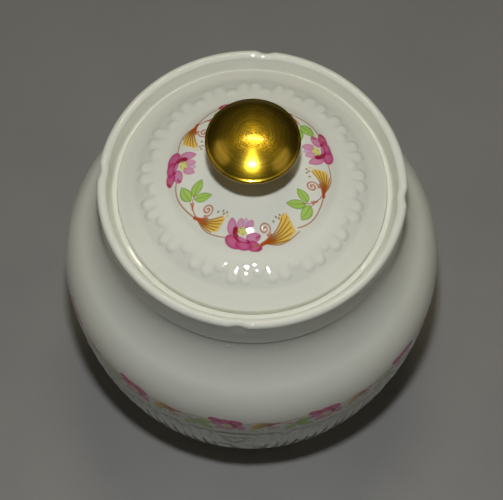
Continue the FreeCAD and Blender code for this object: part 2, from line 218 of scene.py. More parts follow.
AIM = Vector((0, 0, 55.3))  # point of the pot's axis in the middle of the picture
CAMERA_AZIMUTH = -85.5
CAMERA_ELEVATION = 65.34
CAMERA_DISTANCE = 481.3
CAMERA_ROLL = 0.74  # degrees
LENS = 114.5
COOL = (0.91, 0.93, 0.97)
WARM = (1.0, 0.88, 0.6)
LIGHTS = (  # place round the axis (azimuth, distance, height), size, watts, tint
    ("key", (-87.5, 110, 520), (28, 22), 1.12, COOL),
    ("side_panel", (181, 700, 800), (700, 520), 0.42, WARM),
    ("side_panel", (-7, 700, 800), (700, 520), 0.42, WARM),
    ("ceiling_lamp", (90, 400, 1130), (420, 70), 1.45, WARM),
)


# ---- outlines ----

# Outlines are made of stretches.  Their step is the length of the mesh's pieces along them.


def on_circle(centre, radius, degrees):
    angle = math.radians(degrees)
    return (centre[0] + radius * math.cos(angle), centre[1] + radius * math.sin(angle))


def height_on_circle(centre, radius, at_radius):
    return centre[1] + math.sqrt(radius ** 2 - (at_radius - centre[0]) ** 2)


def radius_on_circle(centre, radius, at_height):
    return centre[0] + math.sqrt(radius ** 2 - (at_height - centre[1]) ** 2)


def direction(centre, target):
    return math.degrees(math.atan2(target[1] - centre[1], target[0] - centre[0]))


def straight(start, end, step):
    start = np.array(start, float)
    end = np.array(end, float)
    count = max(1, math.ceil(np.linalg.norm(end - start) / step))
    return start + np.linspace(0, 1, count + 1)[:, None] * (end - start)


def arc(centre, radius, first, last, step):
    length = abs(math.radians(last - first) * radius)
    count = max(2, math.ceil(length / step))
    angles = np.radians(np.linspace(first, last, count + 1))
    return np.array(centre) + radius * np.column_stack([np.cos(angles), np.sin(angles)])


def short_arc(centre, start, end, step):
    """The shorter way round a circle from one of its points to another."""
    first = direction(centre, start)
    turn = wrapped(direction(centre, end) - first)
    return arc(centre, math.dist(centre, start), first, first + turn, step)


def three_point_arc(start, middle, end, step):
    """The arc from start to end through a middle point."""
    (ax, ay), (bx, by), (cx, cy) = start, middle, end
    spread = 2 * (ax * (by - cy) + bx * (cy - ay) + cx * (ay - by))
    a, b, c = ax * ax + ay * ay, bx * bx + by * by, cx * cx + cy * cy
    centre = ((a * (by - cy) + b * (cy - ay) + c * (ay - by)) / spread,
              (a * (cx - bx) + b * (ax - cx) + c * (bx - ax)) / spread)
    return short_arc(centre, start, end, step)


def joined(*stretches):
    """One outline from stretches that each start where the one before ends."""
    parts = [stretches[0]] + [stretch[1:] for stretch in stretches[1:]]
    return np.concatenate(parts)


def rounded_run(points, step):
    """Straight stretches through (radius, height, corner radius) points, with rounded corners."""
    stretches = []
    here = np.array(points[0][:2], float)
    for before, corner, after in zip(points, points[1:], points[2:]):
        middle = np.array(corner[:2], float)
        back = np.array(before[:2]) - middle
        back /= np.linalg.norm(back)
        ahead = np.array(after[:2]) - middle
        ahead /= np.linalg.norm(ahead)
        half_angle = math.acos(np.clip(back @ ahead, -1, 1)) / 2
        trim = corner[2] / math.tan(half_angle)
        start = middle + back * trim
        end = middle + ahead * trim
        stretches.append(straight(here, start, step))
        if corner[2] > 0:
            bisector = (back + ahead) / np.linalg.norm(back + ahead)
            centre = middle + bisector * corner[2] / math.sin(half_angle)
            stretches.append(short_arc(centre, start, end, step))
        here = end
    stretches.append(straight(here, points[-1][:2], step))
    return joined(*stretches)


def smooth(low, high, value):
    """0 up to low, 1 from high on, with a soft change between them; high may be the smaller."""
    share = np.clip((value - low) / (high - low), 0, 1)
    return share * share * (3 - 2 * share)


def mound(distance, half_width):
    """A soft ridge: 1 on its line, sinking to 0 at half its width."""
    return np.clip(1 - (distance / half_width) ** 2, 0, None) ** 2


def tab(distance, half_width):
    """A flat-topped ridge with soft flanks."""
    return np.clip(1 - (distance / half_width) ** 3, 0, None) ** 1.7


def wrapped(degrees, spacing=360):
    """Degrees from the nearest of the places that are evenly spaced round from 0."""
    return (degrees + spacing / 2) % spacing - spacing / 2


# ---- turned meshes ----


COLUMNS = 120  # divisions around the axis of the plainest runs
KNOB_COLUMNS = 256


class Run:
    """A stretch of a turned outline, its divisions around the axis, and its relief.

    A relief moves points, given their radius, height and angle around the axis in radians.
    """

    def __init__(self, points, columns, relief=None):
        self.points = np.asarray(points, float)
        self.columns = columns
        self.relief = relief

    def rings(self, skip_first):
        points = self.points[1:] if skip_first else self.points
        around = np.arange(self.columns) * 2 * math.pi / self.columns
        radius = np.repeat(points[:, :1], self.columns, axis=1)
        height = np.repeat(points[:, 1:], self.columns, axis=1)
        around = np.repeat(around[None, :], len(points), axis=0)
        if self.relief:
            radius, height = self.relief(radius, height, around)
        grid = np.stack([radius * np.cos(around), radius * np.sin(around), height], axis=2)
        return [row[:1] if point[0] == 0 else row for row, point in zip(grid, points)]


def stitch(first, first_count, second, second_count):
    """Faces between two neighbouring rings, which may be divided differently."""
    if first_count == second_count:
        here = np.arange(first_count)
        ahead = (here + 1) % first_count
        return np.column_stack([first + here, second + here, second + ahead, first + ahead]).tolist()
    faces = []
    i = 0
    j = 0
    while i < first_count or j < second_count:
        corner = (first + i % first_count, second + j % second_count)
        advance_first = j >= second_count
        if i < first_count and j < second_count:
            advance_first = (i + 1) * second_count <= (j + 1) * first_count
        if advance_first:
            i += 1
            if first_count > 1:
                faces.append((*corner, first + i % first_count))
        else:
            j += 1
            if second_count > 1:
                faces.append((*corner, second + j % second_count))
    return faces


def turned(name, runs, closed=False):
    """Mesh object of an outline turned about Z, and its vertices in millimetres."""
    rings = []
    for run in runs:
        rings += run.rings(skip_first=bool(rings))
    if closed:
        rings.pop()
    counts = [len(ring) for ring in rings]
    starts = np.concatenate([[0], np.cumsum(counts)]).tolist()
    faces = []
    for index in range(len(rings) - 1):
        faces += stitch(starts[index], counts[index], starts[index + 1], counts[index + 1])
    if closed:
        faces += stitch(starts[len(rings) - 1], counts[-1], 0, counts[0])
    vertices = np.concatenate(rings)
    mesh = bpy.data.meshes.new(name)
    mesh.from_pydata((vertices * MM).tolist(), [], faces)
    mesh.polygons.foreach_set("use_smooth", [True] * len(mesh.polygons))
    mesh.update()
    return in_scene(name, mesh), vertices


def in_scene(name, data):
    """An object of the scene that holds a mesh, a light or a camera."""
    thing = bpy.data.objects.new(name, data)
    bpy.context.scene.collection.objects.link(thing)
    return thing


def around_and_up(vertices):
    """Radius, angle about the axis in radians, and height of each vertex."""
    x, y, height = vertices.T
    return np.hypot(x, y), np.arctan2(y, x), height


def store(piece, name, kind, values):
    """Keeps a value or a colour for each vertex, for the materials."""
    attribute = piece.data.attributes.new(name, kind, "POINT")
    field = "color" if kind == "FLOAT_COLOR" else "value"
    attribute.data.foreach_set(field, values.astype(np.float32).ravel())


# ---- pot ----


def notched_rim(radius, height, around):
    """Soft notches round the rim that fade down the collar, and faint turning lines."""
    along = np.radians(wrapped(np.degrees(around), 360 / NOTCH_COUNT)) * RIM_RADIUS
    depth = NOTCH_DEPTH * mound(along, NOTCH_HALF_WIDTH)
    outward = smooth(RIM_RADIUS - LIP, RIM_RADIUS, radius)
    share = NOTCH_INNER_SHARE + (1 - NOTCH_INNER_SHARE) * outward
    notch = depth * share * smooth(*NOTCH_FADE, height)
    lined = smooth(*LINE_LOW_FADE, height) * smooth(*LINE_HIGH_FADE, height)
    lined = lined * smooth(*COLLAR_FACE_FADE, radius)
    lines = LINE_DEPTH * lined * (1 - np.cos(height * 2 * math.pi / LINE_PITCH))
    sink = NOTCH_SINK_SHARE * depth * smooth(*LIP_TOP_FADE, height)
    return radius - notch - lines, height - sink


def glaze_pimples(radius, height, around):
    """Beads of glaze under the collar."""
    for azimuth, bead_height, size in PIMPLES:
        across = np.radians(np.degrees(around) - azimuth % 360) * radius
        distance = np.hypot(across, (height - bead_height) * PIMPLE_SQUASH)
        radius = radius + PIMPLE_RISE * size * mound(distance, size)
    return radius, height


def flute_cover(across, below_tip):
    """How much a flute with a round tip stands up, by sideways offset and depth under its tip."""
    beyond = np.clip(FLUTE_HALF_WIDTH - below_tip, 0, None)
    return mound(np.hypot(across, beyond), FLUTE_HALF_WIDTH)


def shell_cover(across, height):
    """A shell between two rising arms: beads inside, scallops on top and a stem to the foot."""
    rise = np.clip((height - SHELL_APEX) / (SHELL_TOP - SHELL_APEX), 0, 1)
    arm_reach = math.radians(SHELL_HALF_ANGLE) * BELLY_RADIUS
    side = np.abs(across)
    above_top = np.clip(height - SHELL_TOP, 0, None)
    from_arm = np.hypot(side - arm_reach * rise ** 0.8, above_top)
    cover = mound(from_arm * 0.8, ARM_HALF_WIDTH) * (height >= SHELL_APEX)
    middle = SHELL_BEADS // 2
    for bead in range(-middle, middle + 1):
        offset = bead * arm_reach * BEAD_SPACING
        bead_height = SHELL_TOP - BEAD_DROP - BEAD_SAG * (middle - abs(bead)) ** 2
        bead_distance = np.hypot(across - offset, height - bead_height)
        cover = np.maximum(cover, mound(bead_distance, BEAD_RADIUS))
        ring = np.hypot(across - offset, (height - SHELL_TOP - 0.2) * 1.3)
        scallop = mound(np.abs(ring - SCALLOP_RADIUS), SCALLOP_HALF_WIDTH)
        cover = np.maximum(cover, scallop * smooth(*SCALLOP_FADE, height))
    stem = mound(side, STEM_HALF_WIDTH) * smooth(*STEM_FADE, height)
    return np.maximum(cover, stem)


def lower_relief_cover(height, around):
    """How much the moulded relief of the lower half stands up from its sunk ground, 0 to 1."""
    spacing = 360 / SHELL_COUNT
    off_shell = wrapped(np.degrees(around), spacing)
    pitch = (spacing - 2 * SHELL_HALF_ANGLE) / FLUTE_GROUPS
    from_shell = np.degrees(around) % spacing - SHELL_HALF_ANGLE
    in_group = from_shell % pitch - pitch / 2
    mm_per_degree = math.radians(1) * BELLY_RADIUS
    below_tip = FLUTE_TIP - height
    cover = flute_cover((np.abs(in_group) - FLUTE_OFFSET) * mm_per_degree, below_tip)
    between = pitch / 2 - np.abs(in_group)
    short = flute_cover(between * mm_per_degree, below_tip - SHORT_FLUTE_DROP)
    cover = np.maximum(cover, SHORT_FLUTE_SHARE * short)
    fluted = smooth(SHELL_HALF_ANGLE - SHELL_EDGE, SHELL_HALF_ANGLE + SHELL_EDGE, np.abs(off_shell))
    return np.maximum(cover * fluted, shell_cover(off_shell * mm_per_degree, height))


def lower_relief(radius, height, around):
    sunk = smooth(*RELIEF_HIGH_FADE, height) * smooth(*RELIEF_LOW_FADE, height)
    cover = lower_relief_cover(height, around)
    return radius - FLUTE_DEPTH * sunk * (1 - cover), height


def side_outline(depth, top_height, low_direction):
    """Outline from the neck down the side, a given depth inside its outer face."""
    neck_axis = on_circle(SHOULDER_AXIS, SHOULDER_ROUND + NECK_CURVE, SHOULDER_FACING)
    hollow = NECK_CURVE + depth
    neck_radius = neck_axis[0] - math.sqrt(hollow ** 2 - (top_height - neck_axis[1]) ** 2)
    neck_direction = direction(neck_axis, (neck_radius, top_height))
    return joined(
        arc(neck_axis, hollow, neck_direction, SHOULDER_FACING - 180, 0.1),
        arc(SHOULDER_AXIS, SHOULDER_ROUND - depth, SHOULDER_FACING, 0, 0.1),
        arc(SIDE_AXIS, SIDE_CURVE - depth, 0, low_direction, 0.1),
    )


def stretch_between(outline, high, low, step):
    """The part of a falling outline between two heights, divided evenly."""
    pieces = np.linalg.norm(np.diff(outline, axis=0), axis=1)
    along = np.concatenate([[0], np.cumsum(pieces)])
    first, last = np.interp([-high, -low], -outline[:, 1], along)
    places = np.linspace(first, last, math.ceil((last - first) / step) + 1)
    return np.column_stack([np.interp(places, along, outline[:, axis]) for axis in (0, 1)])


def pot_inside_runs():
    corner_height = FLOOR_HEIGHT + FLOOR_CORNER
    corner_curve = SIDE_CURVE - WALL - FLOOR_CORNER
    corner = (radius_on_circle(SIDE_AXIS, corner_curve, corner_height), corner_height)
    wall_direction = direction(SIDE_AXIS, corner)
    floor = straight((0, FLOOR_HEIGHT), (corner[0], FLOOR_HEIGHT), 4)
    round_corner = arc(corner, FLOOR_CORNER, -90, wall_direction, 1.5)
    inner = side_outline(WALL, UNDER_LEDGE_HEIGHT, wall_direction)
    wall = stretch_between(inner, inner[0][1], inner[-1][1], 1.5)[::-1]
    runs = [Run(floor, COLUMNS), Run(joined(round_corner, wall), 2 * COLUMNS)]
    return runs, tuple(wall[-1])


def pot_mouth_runs(wall_end):
    lip_centre = (RIM_RADIUS - LIP / 2, RIM_TOP - LIP / 2)
    inner_face = (RIM_RADIUS - LIP, lip_centre[1])
    seat = rounded_run([
        wall_end + (0,),
        (MOUTH_RADIUS, SEAT_HEIGHT - LEDGE_THICKNESS, SMALL_ROUND),
        (MOUTH_RADIUS, SEAT_HEIGHT, SMALL_ROUND),
        (SEAT_WALL_RADIUS - 1, SEAT_HEIGHT, 0),
    ], 0.6)
    seat_wall = rounded_run([
        (SEAT_WALL_RADIUS - 1, SEAT_HEIGHT, 0),
        (SEAT_WALL_RADIUS, SEAT_HEIGHT, SMALL_ROUND),
        inner_face + (0,),
    ], 0.3)
    lip = arc(lip_centre, LIP / 2, 180, 0, 0.22)
    neck = side_outline(0, NECK_HEIGHT, FOOT_CURVE_START)[0]
    step_centre = (neck[0], neck[1] + COLLAR_STEP)
    step = arc(step_centre, COLLAR_STEP, 0, -90, 0.1)
    outer_face = (RIM_RADIUS, lip_centre[1])
    collar = three_point_arc(outer_face, (WAIST_RADIUS, WAIST_HEIGHT), tuple(step[0]), 0.25)
    rim = joined(seat_wall, lip, collar, step)
    return [Run(seat, 4 * COLUMNS), Run(rim, 8 * COLUMNS, notched_rim)]


def pot_outside_runs():
    side = side_outline(0, NECK_HEIGHT, FOOT_CURVE_START)
    curve_centre = on_circle(SIDE_AXIS, SIDE_CURVE - FOOT_CURVE, FOOT_CURVE_START)
    foot_start = on_circle(curve_centre, FOOT_CURVE, FOOT_CURVE_END)
    foot_inside = FOOT_RADIUS - FOOT_WIDTH - SMALL_ROUND
    foot = rounded_run([
        foot_start + (0,),
        (FOOT_RADIUS, 0, SMALL_ROUND),
        (FOOT_RADIUS - FOOT_WIDTH, 0, SMALL_ROUND),
        (foot_inside, FOOT_RECESS, SMALL_ROUND),
        (foot_inside - 2, FOOT_RECESS, 0),
    ], 0.5)
    base = straight((foot_inside - 2, FOOT_RECESS), (0, FOOT_RECESS + BASE_CROWN), 4)
    foot_curve = arc(curve_centre, FOOT_CURVE, FOOT_CURVE_START, FOOT_CURVE_END, 0.8)
    # heights at which the mesh becomes finer or coarser
    neck_end = RIM_TOP - 20
    print_start = BELLY_LINE + 1.6
    print_end = FLUTE_TIP + 2.3
    tips_end = RIM_TOP - 71
    return [
        Run(stretch_between(side, NECK_HEIGHT, neck_end, 0.3), 8 * COLUMNS, glaze_pimples),
        Run(stretch_between(side, neck_end, print_start, 1.0), 4 * COLUMNS),
        Run(stretch_between(side, print_start, print_end, 0.2), 12 * COLUMNS),
        Run(stretch_between(side, print_end, tips_end, 0.35), 8 * COLUMNS, lower_relief),
        Run(stretch_between(side, tips_end, side[-1][1], 0.9), 8 * COLUMNS, lower_relief),
        Run(foot_curve, 4 * COLUMNS, lower_relief),
        Run(foot, 3 * COLUMNS),
        Run(base, COLUMNS),
    ]


def build_pot():
    inside, wall_end = pot_inside_runs()
    runs = inside + pot_mouth_runs(wall_end) + pot_outside_runs()
    piece, vertices = turned("porcelain_pot", runs)
    radius, around, height = around_and_up(vertices)
    outside = radius > mid_wall_radius(height)

    # painted shade: darkens the outside of the hollow neck below the collar
    neck_shade = mound(height - NECK_HEIGHT - NECK_SHADE_HEIGHT, NECK_SHADE_REACH) * outside
    # pooled glaze and painted shade: darkens the sunk ground between the flutes
    sunk = smooth(*FLUTE_POOL_SHADE_FADE, height) * outside
    pool_and_shade = NECK_SHADE_SHARE * neck_shade + sunk * (1 - lower_relief_cover(height, around))
    store(piece, "pooled_glaze_and_shade", "FLOAT", pool_and_shade)

    printed = outside & (height > FLUTE_TIP)
    enamel = Enamel(len(vertices), softness=0.17)
    for index in range(BELLY_SPRAYS):
        azimuth = BELLY_TURN + index * 360 / BELLY_SPRAYS
        turn = wrapped(np.degrees(around) - azimuth)
        across = -np.radians(turn) * BELLY_RADIUS
        flower_spray(enamel.window(printed, across, BELLY_LINE - height, SPRAY_ENDS))
    store(piece, "enamel", "FLOAT_COLOR", enamel.colours())
    return piece


def mid_wall_radius(height):
    """Radius of the middle of the wall at each height."""
    middle = side_outline(WALL / 2, NECK_HEIGHT, FOOT_CURVE_START)[::-1]
    return np.interp(height, middle[:, 1], middle[:, 0])


# ---- lid ----


def down_slope(centre, radius, slope):
    return on_circle(centre, radius, 90 - slope)


def slope_arc(centre, radius, first, last, step):
    return arc(centre, radius, 90 - first, 90 - last, step)


def slope_at(radius, curve):
    """Slope, this far from the axis, of a sphere that is centred on it."""
    return math.degrees(math.asin(radius / curve))


def lid_arcs():
    """Crown centre and radius, shoulder centre and hollow centre of the lid's top."""
    hollow = down_slope(DOME_AXIS, DOME_CURVE + HOLLOW_CURVE, DOME_SLOPE)
    hollow_end = down_slope(hollow, -HOLLOW_CURVE, HOLLOW_SLOPE)
    shoulder = down_slope(hollow_end, -SHOULDER_CURVE, HOLLOW_SLOPE)
    shoulder_end = down_slope(shoulder, SHOULDER_CURVE, CROWN_SLOPE)
    crown_curve = shoulder_end[0] / math.sin(math.radians(CROWN_SLOPE))
    crown = (0, shoulder_end[1] - crown_curve * math.cos(math.radians(CROWN_SLOPE)))
    return crown, crown_curve, shoulder, hollow


def rounding_under_dome(depth, fillet, fillet_radius, step):
    """Rounding from a vertical wall to the dome, and the dome's slope where it ends."""
    centre = (fillet_radius, height_on_circle(DOME_AXIS, DOME_CURVE - depth - fillet, fillet_radius))
    towards = direction(DOME_AXIS, centre)
    return arc(centre, fillet, 0, towards, step), 90 - towards


def rib_places():
    """Azimuth, tip radius and height of every rib of the lid, laid a little unevenly by hand."""
    random = np.random.default_rng(RIB_SEED)
    group_ribs = (
        (-PAIR_ANGLE, LONG_RIB_TIP, 1),
        (PAIR_ANGLE, LONG_RIB_TIP, 1),
        (180 / RIB_GROUPS, SHORT_RIB_TIP, SHORT_RIB_SHARE),
    )
    places = []
    for group in range(RIB_GROUPS):
        even = group * 360 / RIB_GROUPS
        middle = even + RIB_TURN - RIB_CROWDING * math.sin(math.radians(even + CROWDING_TURN))
        for offset, tip, share in group_ribs:
            slip = random.normal(0, RIB_SLIP)
            tip_slip = random.normal(0, TIP_SLIP)
            places.append((middle + offset + slip, tip + tip_slip, RIB_HEIGHT * share))
    return places


def rib_height(radius, around):
    """Height of the ribs above the dome."""
    total = np.zeros_like(radius)
    for azimuth, tip, height in rib_places():
        turn = np.radians(wrapped(np.degrees(around) - azimuth))
        near = np.abs(turn) < RIB_WINDOW
        out = radius[near] * np.cos(turn[near])
        across = radius[near] * np.sin(turn[near])
        tip_centre = tip - RIB_HALF_WIDTH
        beyond = np.clip(out - tip_centre, 0, None)
        grown = smooth(RIB_ROOT, tip_centre + RIB_GROWN, out)
        rib = height * grown * tab(np.hypot(across, beyond), RIB_HALF_WIDTH)
        total[near] = (total[near] ** 3 + rib ** 3) ** (1 / 3)
    return total


def rib_relief(radius, height, around):
    raised = rib_height(radius, around)
    lean = radius / DOME_CURVE
    return radius + raised * lean, height + raised * np.sqrt(1 - lean ** 2)


def lid_top_runs():
    crown, crown_curve, shoulder, hollow = lid_arcs()
    land_slope = slope_at(LAND_RADIUS, crown_curve)
    print_slope = slope_at(PRINT_START_RADIUS, crown_curve)
    ribs_slope = slope_at(RIBS_END_RADIUS, DOME_CURVE)
    edge, edge_slope = rounding_under_dome(0, EDGE_ROUND, LID_RADIUS - EDGE_ROUND, 0.2)
    land_height = height_on_circle(crown, crown_curve, LAND_RADIUS)
    land = straight((LID_HOLE_RADIUS, land_height), (LAND_RADIUS, land_height), 0.7)
    printed = joined(
        slope_arc(crown, crown_curve, print_slope, CROWN_SLOPE, 0.17),
        slope_arc(shoulder, SHOULDER_CURVE, CROWN_SLOPE, HOLLOW_SLOPE, 0.17),
        slope_arc(hollow, -HOLLOW_CURVE, HOLLOW_SLOPE, DOME_SLOPE, 0.17),
    )
    ribbed = slope_arc(DOME_AXIS, DOME_CURVE, DOME_SLOPE, ribs_slope, 0.24)
    return [
        Run(land, COLUMNS),
        Run(slope_arc(crown, crown_curve, land_slope, print_slope, 0.8), 2 * COLUMNS),
        Run(printed, 8 * COLUMNS),
        Run(ribbed, 8 * COLUMNS, rib_relief),
        Run(slope_arc(DOME_AXIS, DOME_CURVE, ribs_slope, edge_slope, 0.5), 4 * COLUMNS),
        Run(edge[::-1], 4 * COLUMNS),
    ], edge[0]


def lid_under_runs(rim_top):
    flange_inside = FLANGE_RADIUS - FLANGE_WIDTH
    flange_bottom = LID_LOW.z
    corner, under_slope = rounding_under_dome(
        LID_THICKNESS, FLANGE_CORNER, flange_inside - FLANGE_CORNER, 0.5)
    crown, crown_curve, shoulder, hollow = lid_arcs()
    crown_under = crown_curve - LID_THICKNESS
    land_slope = slope_at(UNDER_LAND_RADIUS, crown_under)
    land_height = height_on_circle(crown, crown_under, UNDER_LAND_RADIUS)
    outer = rounded_run([
        tuple(rim_top) + (0,),
        (LID_RADIUS, SEAT_HEIGHT, EDGE_ROUND),
        (FLANGE_RADIUS, SEAT_HEIGHT, EDGE_ROUND),
        (FLANGE_RADIUS, flange_bottom, EDGE_ROUND),
        (flange_inside, flange_bottom, EDGE_ROUND),
        tuple(corner[0]) + (0,),
    ], 0.4)
    underside = joined(
        corner,
        slope_arc(DOME_AXIS, DOME_CURVE - LID_THICKNESS, under_slope, DOME_SLOPE, 1),
        slope_arc(hollow, -HOLLOW_CURVE - LID_THICKNESS, DOME_SLOPE, HOLLOW_SLOPE, 1),
        slope_arc(shoulder, SHOULDER_CURVE - LID_THICKNESS, HOLLOW_SLOPE, CROWN_SLOPE, 1),
        slope_arc(crown, crown_under, CROWN_SLOPE, land_slope, 1),
        straight((UNDER_LAND_RADIUS, land_height), (LID_HOLE_RADIUS, land_height), 1),
    )
    top_height = height_on_circle(crown, crown_curve, LAND_RADIUS)
    hole = straight((LID_HOLE_RADIUS, land_height), (LID_HOLE_RADIUS, top_height), 0.8)
    return [Run(outer, 3 * COLUMNS), Run(underside, 2 * COLUMNS), Run(hole, COLUMNS)]


def build_lid():
    top, rim_top = lid_top_runs()
    piece, vertices = turned("porcelain_lid", top + lid_under_runs(rim_top), closed=True)
    radius, around, height = around_and_up(vertices)
    # The underside of the dome is above the seat too, so it gets the print as well.
    above_seat = height > SEAT_HEIGHT + 2.5

    # pooled glaze and painted shade: darkens the valleys between the ribs
    valley = 1 - np.clip(rib_height(radius, around) / RIB_HEIGHT, 0, 1)
    ribbed = smooth(*VALLEY_ROOT_FADE, radius) * smooth(*VALLEY_TIP_FADE, radius)
    store(piece, "pooled_glaze_and_shade", "FLOAT", valley * ribbed * above_seat)

    printed = above_seat & (radius < RIB_ROOT)
    enamel = Enamel(len(vertices), softness=0.12)
    sprays = [(azimuth, slip, SPRAY_ENDS, flower_spray) for azimuth, slip in LID_SPRAYS]
    sprays.append((*CUT_SPRAY, CUT_ENDS, snipped_spray))
    for azimuth, slip, ends, paint in sprays:
        turn = wrapped(np.degrees(around) - azimuth)
        across = np.radians(turn) * LID_LINE_RADIUS
        inward = LID_LINE_RADIUS + slip - radius
        paint(enamel.window(printed, across, inward, ends))
    store(piece, "enamel", "FLOAT_COLOR", enamel.colours())
    return piece


# ---- printed enamel ----

SPRAY_ENDS = (-30.0, 8.0)  # reach of a spray along its line, from the flower
CUT_ENDS = (-17.0, -3.2)  # the part of it that the snipped piece shows
CUT_STRETCH = 1.3  # the fan of that piece is drawn this much larger


def colour(text):
    """Linear colour of a hex code."""
    channels = np.array([int(text[index:index + 2], 16) for index in (0, 2, 4)]) / 255
    return np.where(channels <= 0.04045, channels / 12.92, ((channels + 0.055) / 1.055) ** 2.4)


MAGENTA = colour("b8286c")
ROSE = colour("d0608f")
PINK = colour("d486ae")
CRIMSON = colour("a00838")
LILAC = colour("cc9cc4")
STAMEN = colour("e2dc6a")
LEAF = colour("a4cc44")
LEAF_EDGE = colour("78a032")
VEIN = colour("5a7a20")
TWIG = colour("a8642c")
ROOT = colour("b84a0c")
HATCH = colour("9a5c10")
WASH = colour("f0c428")
CURL = colour("bc6a3c")
FINE_LINE = colour("b0701e")
OLIVE = colour("8a7a1c")
BARE = colour("e6e7e0")


class Enamel:
    """Colour and cover of printed enamel at each vertex of a glazed surface."""

    def __init__(self, count, softness):
        self.shade = np.tile(BARE, (count, 1))
        self.cover = np.zeros(count)
        self.softness = softness

    def window(self, surface, across, inward, ends):
        """Turns to one spray's vertices, by their place along its line (x) and inside it (y)."""
        near = surface & (across > ends[0]) & (across < ends[1])
        self.indices = np.nonzero(near)[0]
        self.x = across[near]
        self.y = inward[near]
        return self

    def colours(self):
        return np.column_stack([self.shade, self.cover])

    def lay(self, cover, shade):
        """Lays a colour over what is there."""
        old_cover = self.cover[self.indices]
        old_shade = self.shade[self.indices]
        total = cover + old_cover * (1 - cover)
        share = np.where(total > 1e-4, cover / np.maximum(total, 1e-4), 0)[:, None]
        self.shade[self.indices] = old_shade * (1 - share) + shade * share
        self.cover[self.indices] = total

    def inside(self, distance):
        """Cover of a shape whose edge is where the distance is 0, positive inside."""
        return smooth(-self.softness, self.softness, distance)

    def brush(self, points, start_width, end_width, shade, strength=0.9):
        """A brush line through points, its width changing evenly along it."""
        path = smooth_path(points)
        distance = np.full(len(self.x), np.inf)
        place = np.zeros(len(self.x))
        for index in range(len(path) - 1):
            start = path[index]
            run = path[index + 1] - start
            offset = np.column_stack([self.x, self.y]) - start
            along = np.clip(offset @ run / max(run @ run, 1e-9), 0, 1)
            gap = np.linalg.norm(offset - along[:, None] * run, axis=1)
            closer = gap < distance
            distance[closer] = gap[closer]
            place[closer] = (index + along[closer]) / (len(path) - 1)
        width = start_width + (end_width - start_width) * place
        self.lay(strength * self.inside(width / 2 - distance), shade)

    def petal(self, centre, length, width, tilt, heart, edge, strength=0.92):
        """An oval petal, darker along its edge, with faint brush streaks along it."""
        angle = math.radians(tilt)
        dx = self.x - centre[0]
        dy = self.y - centre[1]
        along = (dx * math.cos(angle) + dy * math.sin(angle)) / (length / 2)
        across = (dy * math.cos(angle) - dx * math.sin(angle)) / (width / 2)
        reach = np.hypot(along, across / (1 - 0.18 * along))
        cover = self.inside((1 - reach) * min(length, width) / 2)
        streak = 0.5 + 0.5 * np.sin(across * 9 + along * 2)
        blend = np.clip(smooth(0.35, 1.0, reach) * 0.8 + 0.25 * streak - 0.1, 0, 1)[:, None]
        self.lay(strength * cover, heart * (1 - blend) + edge * blend)

    def leaf(self, base, tip, width):
        """A pointed leaf with a dark edge and a midrib."""
        base = np.array(base)
        run = np.array(tip) - base
        length = np.linalg.norm(run)
        run /= length
        dx = self.x - base[0]
        dy = self.y - base[1]
        along = np.clip((dx * run[0] + dy * run[1]) / length, 0, 1)
        across = dy * run[0] - dx * run[1]
        beyond = np.hypot(dx - along * run[0] * length, dy - along * run[1] * length)
        half = width / 2 * np.sin(math.pi * along ** 0.85) ** 0.8
        gap = half - beyond
        rim = smooth(0.55, 0.1, gap)[:, None]
        tone = 0.25 * smooth(0, width / 2, across)[:, None]
        shade = LEAF * (1 - rim) + LEAF_EDGE * rim
        self.lay(0.9 * self.inside(gap), shade * (1 - tone) + LEAF_EDGE * tone)
        self.brush([base, base + run * length * 0.45, base + run * length * 0.85], 0.26, 0.12, VEIN, 0.7)

    def dot(self, centre, size, shade):
        distance = np.hypot(self.x - centre[0], self.y - centre[1])
        self.lay(0.85 * self.inside(size / 2 - distance), shade)

    def wash(self, corners, shade, strength):
        """A pale wash inside a convex shape given by its corners in order."""
        inside = np.full(len(self.x), np.inf)
        for start, end in zip(corners, corners[1:] + corners[:1]):
            run_x = end[0] - start[0]
            run_y = end[1] - start[1]
            side = run_x * (self.y - start[1]) - run_y * (self.x - start[0])
            inside = np.minimum(inside, side / math.hypot(run_x, run_y))
        self.lay(strength * smooth(-0.25, 0.45, inside), shade)


def smooth_path(points, steps=7):
    """A smooth curve through points, as short straight pieces."""
    points = np.array(points, float)
    if len(points) < 3:
        return points
    padded = np.concatenate([points[:1], points, points[-1:]])
    share = np.linspace(0, 1, steps, endpoint=False)[:, None]
    pieces = []
    for before, start, end, after in zip(padded, padded[1:], padded[2:], padded[3:]):
        pieces.append(0.5 * (2 * start + (end - before) * share
                             + (2 * before - 5 * start + 4 * end - after) * share ** 2
                             + (3 * start - before - 3 * end + after) * share ** 3))
    return np.concatenate(pieces + [points[-1:]])


def leaf_sprig(view):
    """Three leaves on a twig that forks off the line."""
    view.leaf((-19.1, 2.3), (-24.6, 1.6), 3.1)
    view.leaf((-19.6, 3.6), (-25.0, 7.4), 3.1)
    view.leaf((-19.0, 3.4), (-16.4, 8.0), 3.3)
    view.brush([(-20.3, 4.3), (-19.3, 3.2), (-17.2, 1.8), (-14.2, 0.9)], 0.2, 0.34, TWIG)
    view.brush([(-18.6, 2.0), (-17.6, 1.9), (-16.8, 1.5)], 0.45, 0.3, ROOT, 0.8)
    view.brush([(-18.0, 2.7), (-17.3, 2.1), (-16.6, 1.4)], 0.4, 0.3, ROOT, 0.8)


